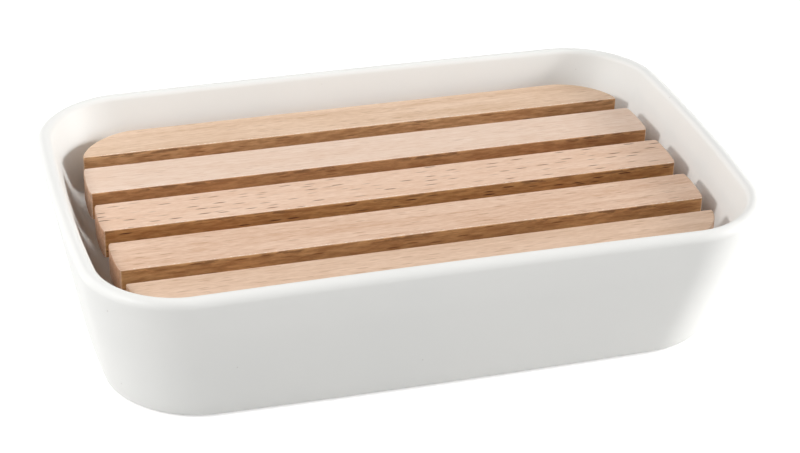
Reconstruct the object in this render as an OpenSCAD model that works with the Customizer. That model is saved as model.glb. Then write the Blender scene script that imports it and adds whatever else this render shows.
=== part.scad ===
// Soap dish: a glazed ceramic tray with a lift-out rack of beech slats.
// Five slats are pinned and glued to two cross battens, which stand on the floor of the tray.
// Millimetres. The origin is the centre of the foot plane, with +X along the length,
// +Y to the back and +Z up.

/* [Tray] */
// Length over the rim, at the middle of the ends
dish_length = 140; // [125:1:170]
// Width over the rim, at the middle of the long sides
dish_width = 90; // [80:1:110]
// Height from the foot to the top of the rim
dish_height = 32; // [30:1:40]
// Radius of the rim's corners, seen from above
corner_radius = 18; // [14:0.5:24]
// How far the middle of each end stands out past its corners
end_bow = 2.2; // [0:0.1:4]
// How far the middle of each long side stands out past its corners
side_bow = 0.9; // [0:0.1:3]
// How far each end wall leans in, from the rim down to the foot
end_draft = 5.5; // [2:0.1:9]
// How far each long wall leans in, from the rim down to the foot
side_draft = 8.3; // [3:0.1:11]

/* [Walls] */
// Thickness of the rounded rim
rim_thickness = 3; // [2.4:0.1:4]
// Thickness of the walls where they would meet the floor
wall_thickness = 5.3; // [4.5:0.1:6.5]
// Height of the inside floor above the foot
floor_height = 5; // [4:0.1:7]
// Radius between the inside walls and the floor
floor_radius = 20; // [14:0.5:22]
// Radius of the flat floor's corners, seen from above
floor_corner_radius = 8; // [5:0.5:10]
// Radius round the bottom edge of the outside
foot_edge_radius = 2; // [1:0.1:3]
// Width of the ring that the tray stands on
foot_ring_width = 4; // [3:0.5:6]
// Depth of the hollow inside the foot ring
foot_recess = 1.2; // [0.6:0.1:2]

/* [Rack] */
// Thickness of the slats
slat_thickness = 6.2; // [5:0.1:8]
// Gap between one slat and the next
slat_gap = 4.9; // [4.4:0.1:6]
// Gap between the ends of the slats and the tray, at the slats' underside
end_clearance = 2.8; // [2:0.1:6]
// Gap between the outer slats and the tray, at the slats' underside
side_clearance = 1.9; // [1:0.1:3]
// How much narrower the two outer slats are than the others
outer_trim = 0.9; // [0:0.1:2]
// Radius of the rack's corners, seen from above
rack_corner_radius = 12.5; // [10:0.5:16]
// How far the middle of the rack's ends stands out past its corners
rack_bow = 1.3; // [0:0.1:3]
// How far the middle of each slat's end stands out past its edges
end_crown = 0.5; // [0:0.05:0.8]
// Radius that takes the sharpness off the slats' edges
edge_ease = 0.4; // [0.2:0.05:0.6]
// Height of the battens under the slats
batten_height = 15.3; // [12:0.1:18]
// Width of each batten
batten_width = 8; // [6:0.5:10]
// Distance between the middles of the two battens
batten_spacing = 72; // [50:1:76]
// How far the battens stop short of the rack's long sides
batten_setback = 2.4; // [2:0.1:6]

/* [Pins] */
// Diameter of the dowel pins
pin_diameter = 3; // [2:0.5:4]
// Length of each pin that goes down into the batten
pin_in_batten = 5.2; // [3:0.1:6]
// Length of each pin that goes up into the slat
pin_in_slat = 3.8; // [2.5:0.1:4]

/* [Hidden] */
$fn = 48;
// Room for glue round a pin and past its upper end
pin_clearance = 0.05;
pin_end_room = 0.3;
// Bevel on the ends of a pin
pin_bevel = 0.4;
// Room between a batten's sloping ends and the curve of the tray, and past its level foot
batten_end_room = 1.5;
batten_foot_room = 3.5;
// Bevel along the lower edges of a batten
batten_bevel = 0.6;
// How far the wall of the foot's hollow leans in
recess_lean = 1;
// Share of the walls' lean that the outside's corner radius loses towards the foot
corner_lean_share = 0.2;
// Overrun of a cutting shape past the face that it cuts
overrun = 0.5;
slat_count = 5;
middle_slat = (slat_count + 1) / 2;
// Steps round a corner, along a long side, along an end and round an edge
corner_steps = 10;
side_steps = 8;
end_steps = 6;
round_steps = 8;
wall_steps = 3;
ease_steps = 3;

rim_radius = rim_thickness / 2;
rim_z = dish_height - rim_radius;
half_length = dish_length / 2;
half_width = dish_width / 2;

// Outside of the tray at height z along one axis, whose rim stands at half and leans in by draft:
// the foot's rounded edge, then a straight wall, then the outer half of the rounded rim.
function lean(draft) = atan(draft / rim_z);
function wall_line(half, draft, z) =
    half - rim_radius + rim_radius / cos(lean(draft)) - tan(lean(draft)) * (rim_z - z);
function foot_flat(half, draft) =
    wall_line(half, draft, foot_edge_radius) - foot_edge_radius / cos(lean(draft));
function outside(half, draft, z) =
    z < foot_edge_radius * (1 - sin(lean(draft)))
        ? foot_flat(half, draft) + sqrt(pow(foot_edge_radius, 2) - pow(foot_edge_radius - z, 2))
    : z < rim_z - rim_radius * sin(lean(draft)) ? wall_line(half, draft, z)
    : half - rim_radius + sqrt(max(0, pow(rim_radius, 2) - pow(z - rim_z, 2)));

// Inside of the tray at height z along one axis: the floor's radius, then a straight wall that
// thins towards the rim, then the inner half of the rounded rim.
floor_radius_z = floor_height + floor_radius;
function inner_lean(draft) =
    atan(draft / rim_z + (wall_thickness - rim_thickness) / (rim_z - floor_height));
function inner_line(half, draft, z) =
    half - rim_radius - rim_radius / cos(inner_lean(draft)) - tan(inner_lean(draft)) * (rim_z - z);
function floor_flat(half, draft) =
    inner_line(half, draft, floor_radius_z) - floor_radius / cos(inner_lean(draft));
function inside(half, draft, z) =
    z < floor_radius_z - floor_radius * sin(inner_lean(draft))
        ? floor_flat(half, draft) + sqrt(pow(floor_radius, 2) - pow(floor_radius_z - z, 2))
    : z < rim_z + rim_radius * sin(inner_lean(draft)) ? inner_line(half, draft, z)
    : half - rim_radius - sqrt(max(0, pow(rim_radius, 2) - pow(z - rim_z, 2)));

// Corner radii. Over the round of the rim they follow its inset, so the rim is as thick in the
// corners. The outside's then falls by a share of the wall's lean, and the inside's falls to the
// floor's corners as its walls close in.
function outside_corner(hx, z) =
    corner_radius - (half_length - hx) * (z > rim_z ? 1 : corner_lean_share);
function inside_share(z) =
    (inside(half_width, side_draft, z) - floor_flat(half_width, side_draft))
    / (half_width - rim_thickness - floor_flat(half_width, side_draft));
function inside_corner(z) =
    z > rim_z ? corner_radius - half_width + inside(half_width, side_draft, z)
    : floor_corner_radius + (corner_radius - rim_thickness - floor_corner_radius) * inside_share(z);

// A rounded rectangle of half sizes hx and hy at height z, with its ends and sides bowed out
function bowed(p, hx, hy, z) = [
    p.x * (1 - end_bow / hx * pow(p.y / hy, 2)),
    p.y * (1 - side_bow / hy * pow(p.x / hx, 2)),
    z
];
function ring(hx, hy, r, z) = [
    for (q = [0 : 3])
        let (
            sx = q == 0 || q == 3 ? 1 : -1,
            sy = q < 2 ? 1 : -1,
            c = [sx * (hx - r), sy * (hy - r)],
            run = q % 2 == 0 ? [-2 * sx * (hx - r), 0] : [0, -2 * sy * (hy - r)],
            last = [c.x + r * cos(90 * q + 90), c.y + r * sin(90 * q + 90)],
            steps = q % 2 == 0 ? side_steps : end_steps
        )
        each concat(
            [for (k = [0 : corner_steps])
                let (a = 90 * (q + k / corner_steps))
                bowed([c.x + r * cos(a), c.y + r * sin(a)], hx, hy, z)],
            [for (k = [1 : steps - 1]) bowed(last + run * k / steps, hx, hy, z)]
        )
];
function outside_ring(z) =
    let (hx = outside(half_length, end_draft, z), hy = outside(half_width, side_draft, z))
    ring(hx, hy, outside_corner(hx, z), z);
function inside_ring(z) =
    ring(inside(half_length, end_draft, z), inside(half_width, side_draft, z), inside_corner(z), z);
// A ring of the foot, drawn in from the foot's flat edge by inset
function foot_ring(inset, z) =
    ring(foot_flat(half_length, end_draft) - inset, foot_flat(half_width, side_draft) - inset,
         outside_corner(foot_flat(half_length, end_draft), z) - inset, z);

// A closed solid through a stack of rings that all have the same number of points
module loft(rings) {
    n = len(rings[0]);
    last = len(rings) - 1;
    caps = [for (k = [0, last]) [0, 0, rings[k][0].z]];
    points = concat([for (r = rings) each r], caps);
    sides = [
        for (i = [0 : last - 1], j = [0 : n - 1])
            let (a = i * n + j, b = i * n + (j + 1) % n)
            each [[a, b + n, b], [a, a + n, b + n]]
    ];
    bottom = [for (j = [0 : n - 1]) [j, (j + 1) % n, n * (last + 1)]];
    top = [for (j = [0 : n - 1]) [last * n + (j + 1) % n, last * n + j, n * (last + 1) + 1]];
    polyhedron(points, concat(sides, bottom, top), convexity = 6);
}

module dish() {
    foot_arc = 90 - lean(end_draft);
    rim_start = lean(end_draft);
    inner_arc = 90 - inner_lean(end_draft);
    wall_low = foot_edge_radius * (1 - cos(foot_arc));
    wall_high = rim_z - rim_radius * sin(rim_start);
    inner_low = floor_radius_z - floor_radius * cos(inner_arc);
    inner_high = rim_z + rim_radius * cos(inner_arc);
    rim_arc = 90 + rim_start;
    color("whitesmoke")
        loft(concat(
            [foot_ring(foot_ring_width + recess_lean, foot_recess), foot_ring(foot_ring_width, 0)],
            [for (k = [0 : round_steps])
                outside_ring(foot_edge_radius * (1 - cos(foot_arc * k / round_steps)))],
            [for (k = [1 : wall_steps])
                outside_ring(wall_low + (wall_high - wall_low) * k / wall_steps)],
            [for (k = [1 : round_steps])
                outside_ring(rim_z + rim_radius * sin(rim_arc * k / round_steps - rim_start))],
            [for (k = [1 : round_steps])
                inside_ring(rim_z + rim_radius * cos(inner_arc * k / round_steps))],
            [for (k = [1 : wall_steps])
                inside_ring(inner_high + (inner_low - inner_high) * k / wall_steps)],
            [for (k = [1 : round_steps])
                inside_ring(floor_radius_z
                    - floor_radius * cos(inner_arc * (1 - k / round_steps)))]
        ));
}

// The rack's size follows the inside of the tray at the height of the slats' underside
slat_z = floor_height + batten_height;
rack_half_length = inside(half_length, end_draft, slat_z) - end_clearance;
rack_half_width = inside(half_width, side_draft, slat_z) - side_clearance;
slat_width = (2 * (rack_half_width + outer_trim) - (slat_count - 1) * slat_gap) / slat_count;
slat_pitch = slat_width + slat_gap;
function slat_y(i) = (middle_slat - i) * slat_pitch;
function slat_trim(i) = i == 1 || i == slat_count ? outer_trim : 0;

// Half length of the rack at y, when its whole outline is drawn in by inset
function rack_end(y, inset) =
    let (
        r = rack_corner_radius - inset,
        past = max(0, abs(y) - (rack_half_width - rack_corner_radius))
    )
    (rack_half_length - inset - r + sqrt(max(0, pow(r, 2) - pow(past, 2))))
    * (1 - rack_bow / rack_half_length * pow(y / rack_half_width, 2));

// Outline of slat i, drawn in by inset, as two crowned and rounded-off ends
function slat_ring(i, inset, z) =
    let (
        middle = slat_y(i) - sign(middle_slat - i) * slat_trim(i) / 2,
        h = (slat_width - slat_trim(i)) / 2 - inset,
        r = 2 * edge_ease - inset,
        steps = [for (k = [0 : ease_steps]) 90 * k / ease_steps],
        near = [for (a = steps) [-h + r * (1 - cos(a)), r * (1 - sin(a))]],
        mid = [for (k = [1 : end_steps * 2 - 1]) [(h - r) * -cos(90 * k / end_steps), 0]],
        far = [for (k = [ease_steps : -1 : 0]) [-near[k].x, near[k].y]],
        half = concat(near, mid, far)
    )
    concat(
        [for (p = half) [slat_end(middle, p, inset), middle + p.x, z]],
        [for (k = [len(half) - 1 : -1 : 0])
            [-slat_end(middle, half[k], inset), middle + half[k].x, z]]
    );
function slat_end(middle, p, inset) =
    rack_end(middle + p.x, inset) - p.y - end_crown * pow(2 * p.x / slat_width, 2);

// One slat with eased edges and a blind hole over each batten
module slat(i) {
    steps = [for (k = [0 : ease_steps]) 90 * k / ease_steps];
    difference() {
        translate([0, slat_y(i), 0])
            loft([
                for (e = concat(
                    [for (a = steps) [1 - sin(a), 1 - cos(a)]],
                    [for (k = [ease_steps : -1 : 0])
                        [1 - sin(steps[k]), slat_thickness / edge_ease - 1 + cos(steps[k])]]))
                    [for (p = slat_ring(i, e[0] * edge_ease, slat_z + e[1] * edge_ease))
                        p - [0, slat_y(i), 0]]
            ]);
        for (side = [-1, 1])
            translate([side * batten_spacing / 2, slat_y(i), slat_z - overrun])
                cylinder(d = pin_diameter + 2 * pin_clearance,
                         h = overrun + pin_in_slat + pin_end_room);
    }
}

// A cross batten: its ends slope up, clear of the curve between the tray's walls and floor
module batten(side) {
    half_top = rack_half_width - batten_setback;
    half_foot = floor_flat(half_width, side_draft) - batten_foot_room;
    reach = min(half_top - floor_flat(half_width, side_draft), floor_radius);
    end_z = floor_radius_z - sqrt(pow(floor_radius, 2) - pow(reach, 2)) + batten_end_room;
    x = side * batten_spacing / 2;
    difference() {
        intersection() {
            translate([x - batten_width / 2, 0, 0])
                rotate([90, 0, 90])
                    linear_extrude(batten_width)
                        polygon([
                            [-half_foot, floor_height], [half_foot, floor_height],
                            [half_top, end_z], [half_top, slat_z],
                            [-half_top, slat_z], [-half_top, end_z]
                        ]);
            translate([x, half_top, 0])
                rotate([90, 0, 0])
                    linear_extrude(2 * half_top)
                        polygon([
                            [-batten_width / 2 + batten_bevel, floor_height],
                            [batten_width / 2 - batten_bevel, floor_height],
                            [batten_width / 2, floor_height + batten_bevel],
                            [batten_width / 2, slat_z],
                            [-batten_width / 2, slat_z],
                            [-batten_width / 2, floor_height + batten_bevel]
                        ]);
        }
        for (i = [1 : slat_count])
            translate([x, slat_y(i), slat_z - pin_in_batten])
                cylinder(d = pin_diameter + 2 * pin_clearance, h = pin_in_batten + overrun);
    }
}

// The pins of one batten, each standing on the floor of its hole
module dowel_pins(side) {
    pin_length = pin_in_batten + pin_in_slat;
    r = pin_diameter / 2;
    for (i = [1 : slat_count])
        translate([side * batten_spacing / 2, slat_y(i), slat_z - pin_in_batten])
            rotate_extrude()
                polygon([
                    [0, 0], [r - pin_bevel, 0], [r, pin_bevel],
                    [r, pin_length - pin_bevel], [r - pin_bevel, pin_length], [0, pin_length]
                ]);
}

module slat_1() { color("burlywood") slat(1); }
module slat_2() { color("navajowhite") slat(2); }
module slat_3() { color("wheat") slat(3); }
module slat_4() { color("bisque") slat(4); }
module slat_5() { color("burlywood") slat(5); }
module batten_left() { color("peru") batten(-1); }
module batten_right() { color("peru") batten(1); }
module dowel_pins_left() { color("tan") dowel_pins(-1); }
module dowel_pins_right() { color("tan") dowel_pins(1); }

dish();
slat_1();
slat_2();
slat_3();
slat_4();
slat_5();
batten_left();
batten_right();
dowel_pins_left();
dowel_pins_right();
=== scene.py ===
import bmesh
import bpy
import numpy as np
from mathutils import Matrix, Vector


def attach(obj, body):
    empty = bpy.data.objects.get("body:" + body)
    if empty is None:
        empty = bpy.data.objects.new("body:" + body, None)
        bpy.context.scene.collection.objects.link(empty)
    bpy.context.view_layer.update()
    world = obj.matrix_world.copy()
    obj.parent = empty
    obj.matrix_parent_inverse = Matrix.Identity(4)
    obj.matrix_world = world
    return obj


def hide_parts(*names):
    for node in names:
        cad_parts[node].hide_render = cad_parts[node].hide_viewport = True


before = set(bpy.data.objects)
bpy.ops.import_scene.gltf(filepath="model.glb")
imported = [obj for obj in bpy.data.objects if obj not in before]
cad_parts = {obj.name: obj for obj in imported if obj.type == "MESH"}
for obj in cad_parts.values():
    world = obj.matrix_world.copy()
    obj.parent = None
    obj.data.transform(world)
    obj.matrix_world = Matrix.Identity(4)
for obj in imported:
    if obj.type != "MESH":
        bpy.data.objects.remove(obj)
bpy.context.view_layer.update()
mm = 0.001

# Ceramic tray.
# One cast stoneware dish with drafted walls, a fully rounded rim and a wide curve from the walls
# to the floor. A white satin glaze covers all of it but the foot ring, which is wiped bare.
tray_length, tray_width, tray_height = 140 * mm, 90 * mm, 32 * mm
corner_radius, corner_lean_share = 18 * mm, 0.2
end_bow, side_bow, front_pull = 2.2 * mm, 0.9 * mm, 1.8 * mm
end_draft, side_draft = 5.5 * mm, 8.3 * mm
rim_radius, wall_thickness = 1.5 * mm, 5.3 * mm
floor_height, floor_radius, floor_corner = 5 * mm, 20 * mm, 8 * mm
foot_edge, foot_ring, foot_recess, recess_lean = 2 * mm, 4 * mm, 1.2 * mm, 1 * mm
rim_z = tray_height - rim_radius


def outline_columns(corner_steps, side_steps, end_steps):
    """Each column round a rounded rectangle has the way it faces, and its share in x and y of the
    way to a corner's centre: fixed in a corner, and running from corner to corner along a side."""
    faces, share_x, share_y = [], [], []
    corners = [(1, 1), (-1, 1), (-1, -1), (1, -1)]
    for q, steps in enumerate([side_steps, end_steps, side_steps, end_steps]):
        (sx, sy), (nx, ny) = corners[q], corners[(q + 1) % 4]
        way = np.concatenate([np.zeros(corner_steps + 1), np.arange(1, steps) / steps])
        turn = np.minimum(np.arange(corner_steps + steps) / corner_steps, 1)
        faces.append((q + turn) * np.pi / 2)
        share_x.append(sx + (nx - sx) * way)
        share_y.append(sy + (ny - sy) * way)
    return np.concatenate(faces), np.concatenate(share_x), np.concatenate(share_y)


def bowed_rings(half_x, half_y, corner, z, columns):
    """A ring for each row: centre of corner plus corner radius along the way the column faces. Then
    x shrinks by the end bow times the square of y over half y, and y by the side bow likewise. In
    front, the bow lessens by the pull times the square of z over the tray's height, and where it
    falls below zero, the side is drawn in instead, and most at its middle."""
    faces, share_x, share_y = columns
    half_x, half_y, corner, z = [np.asarray(v, float)[:, None] for v in (half_x, half_y, corner, z)]
    x = share_x * (half_x - corner) + corner * np.cos(faces)
    y = share_y * (half_y - corner) + corner * np.sin(faces)
    bend = side_bow - np.where(y < 0, front_pull * (z / tray_height) ** 2, 0)
    return np.stack([x * (1 - end_bow / half_x * (y / half_y) ** 2),
                     y * (1 + (np.minimum(bend, 0) - bend * (x / half_x) ** 2) / half_y),
                     z + 0 * x], -1)


def outside(half, draft, z):
    """Half size of the outside at height z: the foot's rounded edge, then a straight wall that
    leans in by draft from the rim to the foot, then the outer half of the round rim."""
    lean = np.arctan(draft / rim_z)
    wall = half - rim_radius + rim_radius / np.cos(lean) - np.tan(lean) * (rim_z - z)
    foot = foot_flat(half, draft) + np.sqrt(np.maximum(0, foot_edge**2 - (foot_edge - z) ** 2))
    rim = half - rim_radius + np.sqrt(np.maximum(0, rim_radius**2 - (z - rim_z) ** 2))
    return np.where(z < foot_edge * (1 - np.sin(lean)), foot,
                    np.where(z < rim_z - rim_radius * np.sin(lean), wall, rim))


def foot_flat(half, draft):
    """Half size of the flat underside: where the foot's edge radius, laid against the straight
    wall, comes down to the foot plane."""
    lean = np.arctan(draft / rim_z)
    wall = half - rim_radius + rim_radius / np.cos(lean) - np.tan(lean) * (rim_z - foot_edge)
    return wall - foot_edge / np.cos(lean)


def inner_lean(draft):
    """Angle of the inside wall: its draft over the rim's height, and the wall's own taper."""
    return np.arctan(draft / rim_z + (wall_thickness - 2 * rim_radius) / (rim_z - floor_height))


def floor_flat(half, draft):
    """Half size of the flat floor, where the big floor radius comes down level."""
    lean, top = inner_lean(draft), floor_height + floor_radius
    line = half - rim_radius - rim_radius / np.cos(lean) - np.tan(lean) * (rim_z - top)
    return line - floor_radius / np.cos(lean)


def inside(half, draft, z):
    """Half size of the inside at height z: the floor radius, then a straight wall, then the inner
    half of the round rim."""
    lean, top = inner_lean(draft), floor_height + floor_radius
    wall = half - rim_radius - rim_radius / np.cos(lean) - np.tan(lean) * (rim_z - z)
    sweep = floor_flat(half, draft) + np.sqrt(np.maximum(0, floor_radius**2 - (top - z) ** 2))
    rim = half - rim_radius - np.sqrt(np.maximum(0, rim_radius**2 - (z - rim_z) ** 2))
    return np.where(z < top - floor_radius * np.sin(lean), sweep,
                    np.where(z < rim_z + rim_radius * np.sin(lean), wall, rim))


def inside_corner(z):
    """The inside's corner radius grows from the floor's to the rim's as the inside widens. Over the
    round of the rim it follows the rim's inset, so the rim is as thick in the corners."""
    low, here = floor_flat(tray_width / 2, side_draft), inside(tray_width / 2, side_draft, z)
    share = (here - low) / (tray_width / 2 - 2 * rim_radius - low)
    return np.where(z > rim_z, corner_radius - tray_width / 2 + here,
                    floor_corner + (corner_radius - 2 * rim_radius - floor_corner) * share)


def skin(name, rows, closing="fan"):
    """Joins a stack of rings by four-sided faces. Both ends close with a fan to their middle point,
    or, where their two halves already meet, by merging the points that meet."""
    r, c = rows.shape[:2]
    points = rows.reshape(-1, 3)
    i, j = np.arange(r - 1)[:, None] * c, np.arange(c)[None]
    k = (j + 1) % c
    faces = np.stack([i + j, i + k, i + c + k, i + c + j], -1).reshape(-1, 4).tolist()
    if closing == "fan":
        points = np.concatenate([points, rows[:1].mean(1), rows[-1:].mean(1)])
        j, k = j[0], k[0]
        faces += np.stack([k, j, np.full(c, r * c)], -1).tolist()
        faces += np.stack([(r - 1) * c + j, (r - 1) * c + k, np.full(c, r * c + 1)], -1).tolist()
    mesh = bpy.data.meshes.new(name)
    mesh.from_pydata(points.tolist(), [], faces)
    if closing == "merge":
        merge_distance = 0.0001 * mm
        bm = bmesh.new()
        bm.from_mesh(mesh)
        bmesh.ops.remove_doubles(bm, verts=bm.verts, dist=merge_distance)
        bmesh.ops.dissolve_degenerate(bm, edges=bm.edges, dist=merge_distance)
        bm.to_mesh(mesh)
        bm.free()
    mesh.polygons.foreach_set("use_smooth", np.ones(len(mesh.polygons), bool))
    piece = bpy.data.objects.new(name, mesh)
    bpy.context.scene.collection.objects.link(piece)
    return piece


def tray_rings():
    """Rings from the middle of the hollow underside, out over the foot ring, up the wall, over the
    rim, and down the inside to the middle of the floor. The flat middles are rings that shrink."""
    columns = outline_columns(corner_steps=30, side_steps=40, end_steps=24)
    round_rows, wall_rows, inner_rows, sweep_rows = 13, 26, 14, 20
    hx, hy = tray_length / 2, tray_width / 2
    lean, lean_in = np.arctan(end_draft / rim_z), inner_lean(end_draft)
    arc = np.linspace(0, 1, round_rows)
    wall_low, wall_high = foot_edge * (1 - np.sin(lean)), rim_z - rim_radius * np.sin(lean)
    low_z = np.concatenate([foot_edge * (1 - np.cos((np.pi / 2 - lean) * arc)),
                            np.linspace(wall_low, wall_high, wall_rows)[1:],
                            rim_z + rim_radius * np.sin((np.pi / 2 + lean) * arc[1:] - lean)])
    under = np.array([foot_ring + recess_lean, foot_ring, foot_ring / 2])
    outer_x = np.concatenate([foot_flat(hx, end_draft) - under, outside(hx, end_draft, low_z)])
    outer_y = np.concatenate([foot_flat(hy, side_draft) - under, outside(hy, side_draft, low_z)])
    inset = np.concatenate([under, 0 * low_z])
    outer_z = np.concatenate([[foot_recess, 0, 0], low_z])
    leant = hx - outer_x - inset
    outer_r = corner_radius - inset - leant * np.where(outer_z > rim_z, 1, corner_lean_share)
    outer = bowed_rings(outer_x, outer_y, outer_r, outer_z, columns)
    inner_high = rim_z + rim_radius * np.sin(lean_in)
    sweep_top = floor_height + floor_radius * (1 - np.sin(lean_in))
    sweep = (np.pi / 2 - lean_in) * np.linspace(1, 0, sweep_rows)[1:]
    in_z = np.concatenate([rim_z + rim_radius * np.cos((np.pi / 2 - lean_in) * arc[1:]),
                           np.linspace(inner_high, sweep_top, inner_rows)[1:],
                           floor_height + floor_radius * (1 - np.cos(sweep))])
    inner = bowed_rings(inside(hx, end_draft, in_z), inside(hy, side_draft, in_z),
                        inside_corner(in_z), in_z, columns)
    shrunk = np.array([0.15, 0.5, 0.85, 0.97])[:, None, None] * [1, 1, 0] + [0, 0, 1]
    return np.concatenate([outer[:1] * shrunk, outer, inner, inner[-1:] * shrunk[::-1]])


tray = skin("tray_shell", tray_rings())


def node(tree, kind, settings=(), **feeds):
    """Adds a shader node. Settings are its own choices, and each feed sets a socket by name, or by
    number after an s, to a value or links it to another node's output."""
    made = tree.nodes.new("ShaderNode" + kind)
    for key, value in dict(settings).items():
        setattr(made, key, value)
    for key, value in feeds.items():
        socket = made.inputs[int(key[1:]) if key[1:].isdigit() else key.replace("_", " ")]
        if isinstance(value, bpy.types.NodeSocket):
            tree.links.new(value, socket)
        else:
            socket.default_value = value
    return made


def calc(tree, operation, *values):
    """One Math node: the operation on one to three values."""
    return node(tree, "Math", {"operation": operation},
                **{f"s{i}": v for i, v in enumerate(values)}).outputs[0]


def rise(tree, value, start, end):
    """0 up to start, 1 from end on, and a soft S between them."""
    made = node(tree, "MapRange", {"interpolation_type": "SMOOTHSTEP"}, Value=value,
                From_Min=start, From_Max=end)
    return made.outputs[0]


def mix(tree, share, low, high):
    """A colour between low and high, by share."""
    return node(tree, "Mix", {"data_type": "RGBA"}, s0=share, s6=low, s7=high).outputs[2]


def noise(tree, vector, scale, detail=2.0, roughness=0.5):
    """Soft cloudy values between about 0.25 and 0.75, with the given number of cells a metre."""
    return node(tree, "TexNoise", Vector=vector, Scale=scale, Detail=detail,
                Roughness=roughness).outputs[0]


def start_material(name):
    """A new material with its tree, its Principled shader and its Object coordinates."""
    material = bpy.data.materials.new(name)
    material.use_nodes = True
    tree = material.node_tree
    shader = tree.nodes["Principled BSDF"]
    return material, tree, shader, node(tree, "TexCoord").outputs["Object"]


def satin_glaze():
    """White glaze that pools very slightly warmer and cooler, with a few tiny iron specks under it,
    a faint orange peel, and a bare, rougher foot ring where z is next to nothing."""
    material, tree, shader, place = start_material("satin_glaze")
    cool_white, warm_white = (0.862, 0.862, 0.838, 1), (0.882, 0.878, 0.852, 1)
    iron, pale_clay, dark_clay = (0.30, 0.24, 0.19, 1), (0.78, 0.73, 0.65, 1), (0.62, 0.56, 0.48, 1)
    z = node(tree, "SeparateXYZ", Vector=place).outputs[2]
    body = mix(tree, rise(tree, noise(tree, place, 28, 2), 0.35, 0.65), cool_white, warm_white)
    cells = node(tree, "TexVoronoi", Vector=place, Scale=150)
    speck = calc(tree, "SUBTRACT", 1.0, rise(tree, cells.outputs["Distance"], 0.018, 0.034))
    body = mix(tree, calc(tree, "MULTIPLY", speck, 0.35), body, iron)
    bare = calc(tree, "SUBTRACT", 1.0, rise(tree, z, 0.15 * mm, 0.45 * mm))
    grit = noise(tree, place, 2600, 3, 0.7)
    clay = mix(tree, rise(tree, grit, 0.35, 0.7), pale_clay, dark_clay)
    tree.links.new(mix(tree, bare, body, clay), shader.inputs["Base Color"])
    dull = calc(tree, "MULTIPLY_ADD", noise(tree, place, 90, 3), 0.10, 0.43)
    dull = calc(tree, "MAXIMUM", dull, calc(tree, "MULTIPLY", bare, 0.85))
    tree.links.new(dull, shader.inputs["Roughness"])
    peel = calc(tree, "MULTIPLY_ADD", noise(tree, place, 420, 2), 0.35, noise(tree, place, 70, 1))
    peel = calc(tree, "MULTIPLY_ADD", calc(tree, "MULTIPLY", grit, bare), 0.5, peel)
    bump = node(tree, "Bump", Height=peel, Strength=0.12, Distance=0.2 * mm)
    tree.links.new(bump.outputs[0], shader.inputs["Normal"])
    return material


tray.data.materials.append(satin_glaze())
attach(tray, "tray")
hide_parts("dish")

# Beech slats.
# Five planed strips of steamed beech that lie side by side with even gaps. Their edges are just
# eased with fine paper, and their ends are cut to the rounded, bowed outline of the whole rack.
slat_count, slat_bottom = 5, 20.3 * mm
slat_width, slat_thickness, slat_pitch = 10.96 * mm, 6.2 * mm, 15.865 * mm
slat_top = slat_bottom + slat_thickness
rack_half_length, rack_half_width, outer_trim = 61.4 * mm, 36.3 * mm, 0.9 * mm
rack_corner_back, rack_corner_front = 13.7 * mm, 11.3 * mm
rack_bow, end_crown, corner_fall, slat_ease = 1.3 * mm, 0.2 * mm, 0.4 * mm, 0.3 * mm


def rack_end(y):
    """Half length of the rack at y: straight to the corner, a quarter circle round it, and the
    whole drawn in by the rack's bow times the square of y over the half width. The back corners
    are sanded a little rounder than the front ones."""
    corner = np.where(y < 0, rack_corner_front, rack_corner_back)
    past = np.maximum(0, np.abs(y) - (rack_half_width - corner))
    reach = rack_half_length - corner + np.sqrt(np.maximum(0, corner**2 - past**2))
    return reach * (1 - rack_bow / rack_half_length * (y / rack_half_width) ** 2)


def slat_rings(number):
    """A rounded rectangle, carried along x from end to end. At each end it draws in by the ease on
    a quarter circle, and its height then closes to a line, so the end face follows the outline. The
    end also falls back by the crown times the square of the way from the slat's middle to a full
    slat's edge, and by the corner's fall times the eighth power of it, which rounds the corners.
    The two outer slats are narrower by the trim, at their outer edges."""
    trim = outer_trim if number in (1, slat_count) else 0
    from_middle = (slat_count + 1) / 2 - number
    middle = from_middle * slat_pitch - np.sign(from_middle) * trim / 2
    half_width = (slat_width - trim) / 2
    faces, share_y, share_z = outline_columns(corner_steps=5, side_steps=34, end_steps=12)
    body_rows, ease_rows, closing = 179, 6, np.array([0, 0.35, 0.7])
    turn, plain = np.linspace(0, np.pi / 2, ease_rows), np.zeros(body_rows)
    end_rows = ease_rows + len(closing)
    along = np.linspace(-1, 1, body_rows + 2)[1:-1]
    along = np.concatenate([[-1] * end_rows, along, [1] * end_rows])
    inset = slat_ease * np.concatenate([0 * closing + 1, 1 - np.cos(turn[::-1])])
    back = slat_ease * np.concatenate([0 * closing, 1 - np.sin(turn[::-1])])
    flat = np.concatenate([closing, 0 * turn + 1])
    inset = np.concatenate([inset, plain, inset[::-1]])[:, None]
    back = np.concatenate([back, plain + slat_ease, back[::-1]])[:, None]
    flat = np.concatenate([flat, plain + 1, flat[::-1]])[:, None]
    corner = slat_ease - inset
    y = share_y * (half_width - slat_ease) + corner * np.cos(faces)
    z = share_z * (slat_thickness / 2 - slat_ease) + corner * np.sin(faces)
    way = 2 * y / slat_width
    x = along[:, None] * (rack_end(y + middle) - back - end_crown * way**2 - corner_fall * way**8)
    return np.stack([x, y + middle, slat_bottom + slat_thickness / 2 + z * flat], -1)


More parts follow.
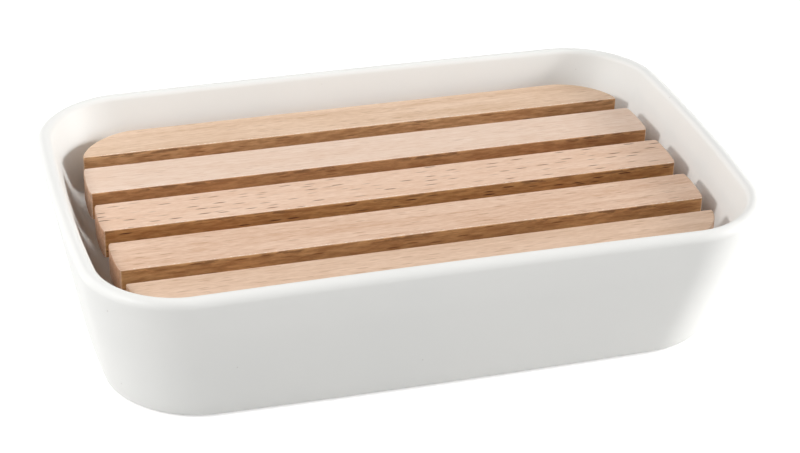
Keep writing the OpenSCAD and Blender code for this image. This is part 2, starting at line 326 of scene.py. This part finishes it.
def beech_grain():
    """Shader group. The grain runs along its x. Three stretched noises give growth bands, fibres
    and fine pores. Rays are thin upright lens shapes, one in each stretched cell, which the wood's
    faces cut into short dashes."""
    group = bpy.data.node_groups.new("beech_grain", "ShaderNodeTree")
    for name, kind in [("Vector", "Vector"), ("Light", "Color"), ("Dark", "Color"),
                       ("Ray", "Color"), ("Bands", "Float"), ("Rays", "Float")]:
        group.interface.new_socket(name, in_out="INPUT", socket_type="NodeSocket" + kind)
    for name, kind in [("Color", "Color"), ("Height", "Float"), ("Rough", "Float")]:
        group.interface.new_socket(name, in_out="OUTPUT", socket_type="NodeSocket" + kind)
    given, out = group.nodes.new("NodeGroupInput"), group.nodes.new("NodeGroupOutput")
    along = given.outputs["Vector"]

    def stretched(x, y, z):
        scaled = node(group, "VectorMath", {"operation": "MULTIPLY"}, s0=along, s1=(x, y, z))
        return scaled.outputs[0]

    bands = noise(group, stretched(25, 420, 200), 1, 2, 0.55)
    fibre = noise(group, stretched(170, 1900, 1500), 1, 3, 0.6)
    pores = noise(group, stretched(520, 4200, 4200), 1, 2, 0.6)
    tone = calc(group, "SUBTRACT", bands, 0.5)
    tone = calc(group, "MULTIPLY_ADD", tone, given.outputs["Bands"], 0.45)
    tone = calc(group, "MULTIPLY_ADD", calc(group, "SUBTRACT", fibre, 0.5), 1.2, tone)
    tone = calc(group, "MULTIPLY_ADD", calc(group, "SUBTRACT", pores, 0.5), 1.5, tone)
    clamp = node(group, "Clamp", Value=tone).outputs[0]
    wood = mix(group, clamp, given.outputs["Light"], given.outputs["Dark"])
    cell = stretched(200, 760, 100)
    centre = node(group, "TexVoronoi", Vector=cell, Scale=1.0)
    away = node(group, "VectorMath", {"operation": "SUBTRACT"},
                s0=cell, s1=centre.outputs["Position"]).outputs[0]
    lens = node(group, "VectorMath", {"operation": "DIVIDE"}, s0=away, s1=(0.36, 0.14, 0.50))
    lens = node(group, "VectorMath", {"operation": "LENGTH"}, s0=lens.outputs[0]).outputs["Value"]
    ray = calc(group, "SUBTRACT", 1.0, rise(group, lens, 0.45, 1.0))
    chance = node(group, "SeparateColor", Color=centre.outputs["Color"]).outputs[0]
    ray = calc(group, "MULTIPLY", ray, rise(group, chance, 0.0, 0.8))
    ray = calc(group, "MULTIPLY", ray, given.outputs["Rays"])
    group.links.new(mix(group, ray, wood, given.outputs["Ray"]), out.inputs["Color"])
    height = calc(group, "MULTIPLY_ADD", fibre, 0.5, calc(group, "MULTIPLY", pores, 0.5))
    group.links.new(calc(group, "MULTIPLY_ADD", ray, -0.5, height), out.inputs["Height"])
    group.links.new(calc(group, "MULTIPLY_ADD", clamp, 0.18, 0.5), out.inputs["Rough"])
    return group


grain = beech_grain()


def beech(name, light, dark, ray, bands, rays, side_shade, shift, turn=(0, 0, 0), depth=0.05 * mm):
    """Unvarnished beech: the grain group on Object coordinates that are shifted to a fresh part of
    the pattern and turned so that x runs along the piece. On the sides the pattern is rolled a
    quarter turn about x, more strongly marked, and multiplied by a mottled brown, which is painted
    shade of the narrow gaps between the slats, with patches of painted shadow under the slats'
    upper edges. The eased edges are paler, a painted highlight, with a few frayed specks. End grain
    is dark, and darker towards the slats' undersides. The depth is how far the fibres stand out."""
    material, tree, shader, place = start_material(name)
    # The second colour is a painted shadow, laid in patches under the slats' upper edges.
    fray, edge_shadow, darker_end_foot = (0.96, 0.84, 0.72, 1), (0.22, 0.11, 0.05, 1), (0.13, 0.05, 0.02, 1)
    height = node(tree, "SeparateXYZ", Vector=place).outputs[2]
    place = node(tree, "Mapping", Vector=place, Location=shift, Rotation=turn).outputs[0]
    facing = node(tree, "Mapping", {"vector_type": "NORMAL"},
                  Vector=node(tree, "TexCoord").outputs["Normal"], Rotation=turn).outputs[0]
    facing = node(tree, "SeparateXYZ", Vector=facing).outputs
    facing = [calc(tree, "ABSOLUTE", way) for way in facing]
    side, end = rise(tree, facing[1], 0.6, 0.95), rise(tree, facing[0], 0.55, 0.9)
    streaks = node(tree, "VectorMath", {"operation": "MULTIPLY"}, s0=place, s1=(280, 1300, 1600))
    mottle = rise(tree, noise(tree, streaks.outputs[0], 1, 3, 0.65), 0.35, 0.65)
    x, y, z = node(tree, "SeparateXYZ", Vector=place).outputs
    rolled = node(tree, "CombineXYZ", X=x, Y=z, Z=y).outputs[0]
    place = node(tree, "Mix", {"data_type": "VECTOR"}, s0=side, s4=place, s5=rolled).outputs[1]
    wood = node(tree, "Group", {"node_tree": grain}, Vector=place, Light=light, Dark=dark, Ray=ray,
                Bands=calc(tree, "MULTIPLY_ADD", side, 1.2, bands),
                Rays=calc(tree, "MULTIPLY_ADD", side, 0.4, rays))
    # The eased edges are made paler as a painted highlight, with a few frayed specks of fibre on
    # top.
    eased = calc(tree, "MAXIMUM", calc(tree, "MULTIPLY", facing[1], facing[2]),
                 calc(tree, "MULTIPLY", facing[0], facing[1]))
    eased = rise(tree, eased, 0.1, 0.45)
    frayed = rise(tree, noise(tree, place, 1600, 1), 0.52, 0.62)
    pale = mix(tree, calc(tree, "MULTIPLY", eased, 0.6), wood.outputs["Color"],
               tuple(min(1, 1.08 * c) for c in light))
    pale = mix(tree, calc(tree, "MULTIPLY", eased, frayed), pale, fray)
    # The sides' mottled brown is painted shade of the narrow gaps between the slats.
    side_shade = mix(tree, mottle, (0.74 * side_shade[0], 0.66 * side_shade[1], 0.59 * side_shade[2], 1), side_shade)
    brown = node(tree, "Mix", {"data_type": "RGBA", "blend_type": "MULTIPLY"}, s0=side,
                 s6=pale, s7=side_shade).outputs[2]
    # Painted shadow in patches along the top of the sides, just under the upper edge.
    edge_shadow_share = calc(tree, "MULTIPLY", side,
                rise(tree, height, slat_top - 1.2 * mm, slat_top - 0.5 * mm))
    edge_shadow_share = calc(tree, "MULTIPLY", edge_shadow_share, calc(tree, "MULTIPLY", rise(tree, mottle, 0.7, 0.2), 0.65))
    edge_shadow_share = calc(tree, "MULTIPLY", edge_shadow_share, rise(tree, noise(tree, place, 60, 1), 0.4, 0.6))
    brown = mix(tree, edge_shadow_share, brown, edge_shadow)
    shade = mix(tree, mottle, (0.7 * dark[0], 0.55 * dark[1], 0.45 * dark[2], 1),
                (0.95 * dark[0], 0.85 * dark[1], 0.75 * dark[2], 1))
    # The end grain goes darker towards the slat's underside.
    low = rise(tree, height, slat_top - 1.0 * mm, slat_bottom + 1.2 * mm)
    shade = mix(tree, calc(tree, "MULTIPLY", low, 0.45), shade, darker_end_foot)
    tree.links.new(mix(tree, calc(tree, "MULTIPLY", end, 0.85), brown, shade),
                   shader.inputs["Base Color"])
    tree.links.new(wood.outputs["Rough"], shader.inputs["Roughness"])
    bump = node(tree, "Bump", Height=wood.outputs["Height"], Strength=0.6, Distance=depth)
    tree.links.new(bump.outputs[0], shader.inputs["Normal"])
    return material


slat_colours_and_side_shade = [
    # light, dark, ray colour, growth bands, rays, painted shade on the sides
    ((0.816, 0.602, 0.448, 1), (0.632, 0.418, 0.265, 1), (0.37, 0.2, 0.1, 1), 1.4, 0.4,
     (0.96, 0.78, 0.535, 1)),
    ((0.844, 0.659, 0.535, 1), (0.72, 0.504, 0.37, 1), (0.44, 0.26, 0.16, 1), 0.9, 0.35,
     (0.8, 0.55, 0.306, 1)),
    ((0.858, 0.63, 0.486, 1), (0.683, 0.434, 0.29, 1), (0.16, 0.07, 0.03, 1), 0.8, 1.0,
     (0.762, 0.556, 0.283, 1)),
    ((0.814, 0.587, 0.442, 1), (0.618, 0.381, 0.247, 1), (0.35, 0.18, 0.09, 1), 1.2, 0.6,
     (0.94, 0.745, 0.443, 1)),
    ((0.779, 0.561, 0.416, 1), (0.613, 0.405, 0.27, 1), (0.35, 0.18, 0.09, 1), 1.2, 0.5,
     (0.81, 0.62, 0.36, 1)),
]
for number, (light, dark, ray, bands, rays, side_shade) in enumerate(slat_colours_and_side_shade, 1):
    slat = skin(f"beech_slat_{number}", slat_rings(number), "merge")
    slat.data.materials.append(beech(f"beech_slat_{number}", light, dark, ray, bands, rays, side_shade,
                                     (0.31 * number, 0.17 * number, 0.023 * number)))
    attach(slat, "rack")
    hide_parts(f"slat_{number}")

# Cross battens.
# Two sawn beech bars under the slats hold them at their spacing and carry them on the tray's
# floor. Their ends slope up to clear the curve of the tray, and the slats are glued to their tops.
for name, side in (("batten_left", 1), ("batten_right", -1)):
    wood = beech("beech_" + name, light=(0.74, 0.54, 0.38, 1), dark=(0.58, 0.38, 0.24, 1),
                 ray=(0.38, 0.2, 0.1, 1), bands=1.2, rays=0.6, side_shade=(1.0, 0.80, 0.48, 1),
                 shift=(0.7 * side, 0.4, 0.1), turn=(0, 0, np.pi / 2), depth=0.09 * mm)
    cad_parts[name].data.materials.clear()
    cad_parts[name].data.materials.append(wood)

# Dowel pins.
# Ten short turned beech dowels, glued upright into blind holes, lock each slat to each batten.
# They show only when the rack is taken apart.
for name, side in (("dowel_pins_left", 1), ("dowel_pins_right", -1)):
    wood = beech("beech_" + name, light=(0.80, 0.62, 0.46, 1), dark=(0.66, 0.46, 0.31, 1),
                 ray=(0.42, 0.24, 0.13, 1), bands=1.0, rays=0.4, side_shade=(1.0, 0.80, 0.48, 1),
                 shift=(0.2 * side, 0.9, 0.3), turn=(0, np.pi / 2, 0))
    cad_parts[name].data.materials.clear()
    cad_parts[name].data.materials.append(wood)

# Floor, lamps and camera.
# A plain pale floor shows white to the camera but keeps a soft shadow by the tray. Two small key
# lamps and two soft fill lamps stand round it, and the view is the photograph's, from front left
# and thirty degrees up.


def seen_directly(tree):
    """1 for what the camera sees, straight on or through gloss or glass, and 0 for lighting."""
    path = node(tree, "LightPath").outputs
    seen = calc(tree, "MAXIMUM", path["Is Camera Ray"], path["Is Glossy Ray"])
    return calc(tree, "MAXIMUM", seen, path["Is Transmission Ray"])


world = bpy.data.worlds.new("studio")
bpy.context.scene.world = world
world.use_nodes = True
tree = world.node_tree
tree.nodes["Background"].inputs["Color"].default_value = (1, 1, 1, 1)
ambient, white = 0.325, 1.0
strength = node(tree, "MapRange", Value=seen_directly(tree), To_Min=ambient, To_Max=white)
tree.links.new(strength.outputs[0], tree.nodes["Background"].inputs["Strength"])

floor_half, floor_z = 3.0, -0.02 * mm
floor_mesh = bpy.data.meshes.new("floor")
floor_mesh.from_pydata([(x * floor_half, y * floor_half, floor_z)
                        for x, y in ((-1, -1), (1, -1), (1, 1), (-1, 1))], [], [(0, 1, 2, 3)])
floor = bpy.data.objects.new("floor", floor_mesh)
bpy.context.scene.collection.objects.link(floor)
material, tree, shader, place = start_material("pale_floor")
shader.inputs["Base Color"].default_value = (0.69, 0.69, 0.69, 1)
shader.inputs["Roughness"].default_value = 0.9
shader.inputs["Specular IOR Level"].default_value = 0.0
shader.inputs["Emission Color"].default_value = (1, 1, 1, 1)
# The glow is weaker near the tray, so that the tray's shadow shows.
near, far, near_glow, far_glow = 0.15, 0.6, 0.62, 0.82
away = node(tree, "VectorMath", {"operation": "LENGTH"}, s0=place).outputs["Value"]
glow = node(tree, "MapRange", {"interpolation_type": "SMOOTHSTEP"}, Value=away, From_Min=near,
            From_Max=far, To_Min=near_glow, To_Max=far_glow).outputs[0]
glow = calc(tree, "MULTIPLY", seen_directly(tree), glow)
tree.links.new(glow, shader.inputs["Emission Strength"])
floor_mesh.materials.append(material)

for name, place, size, watts in [
    ("left", (-0.63, -0.205, 0.447), 0.12, 2.66),
    ("right", (0.755, -0.093, 0.247), 0.12, 2.85),
    ("front", (0.74, -0.27, 0.14), 0.5, 3.8),
    ("back", (-0.445, 0.257, 0.613), 0.5, 1.9),
]:
    lamp = bpy.data.lights.new("lamp_" + name, "AREA")
    lamp.shape, lamp.size, lamp.energy = "SQUARE", size, watts
    stand = bpy.data.objects.new("lamp_" + name, lamp)
    aim = Vector(place).to_track_quat("Z", "Y").to_matrix().to_4x4()
    stand.matrix_world = Matrix.Translation(place) @ aim
    bpy.context.scene.collection.objects.link(stand)

yaw, elevation, roll = np.radians([-17.173, 29.709, -1.615])
distance, offset_right, offset_up = 464.97 * mm, 2.3 * mm, 14.02 * mm
back = np.array([np.sin(yaw) * np.cos(elevation), -np.cos(yaw) * np.cos(elevation),
                 np.sin(elevation)])
level = np.cross(-back, (0, 0, 1))
level /= np.linalg.norm(level)
below = np.cross(-back, level)
right = np.cos(roll) * level + np.sin(roll) * below
down = np.cos(roll) * below - np.sin(roll) * level
eye = distance * back + offset_right * right - offset_up * down
camera_data = bpy.data.cameras.new("camera")
camera_data.sensor_width = 36
camera_data.lens = 98.21
camera_data.clip_start, camera_data.clip_end = 0.01, 20
camera = bpy.data.objects.new("camera", camera_data)
camera_turn = Matrix((right, -down, back)).transposed().to_4x4()
camera.matrix_world = Matrix.Translation(Vector(eye)) @ camera_turn
bpy.context.scene.collection.objects.link(camera)
bpy.context.scene.camera = camera
bpy.context.scene.view_settings.view_transform = "Standard"
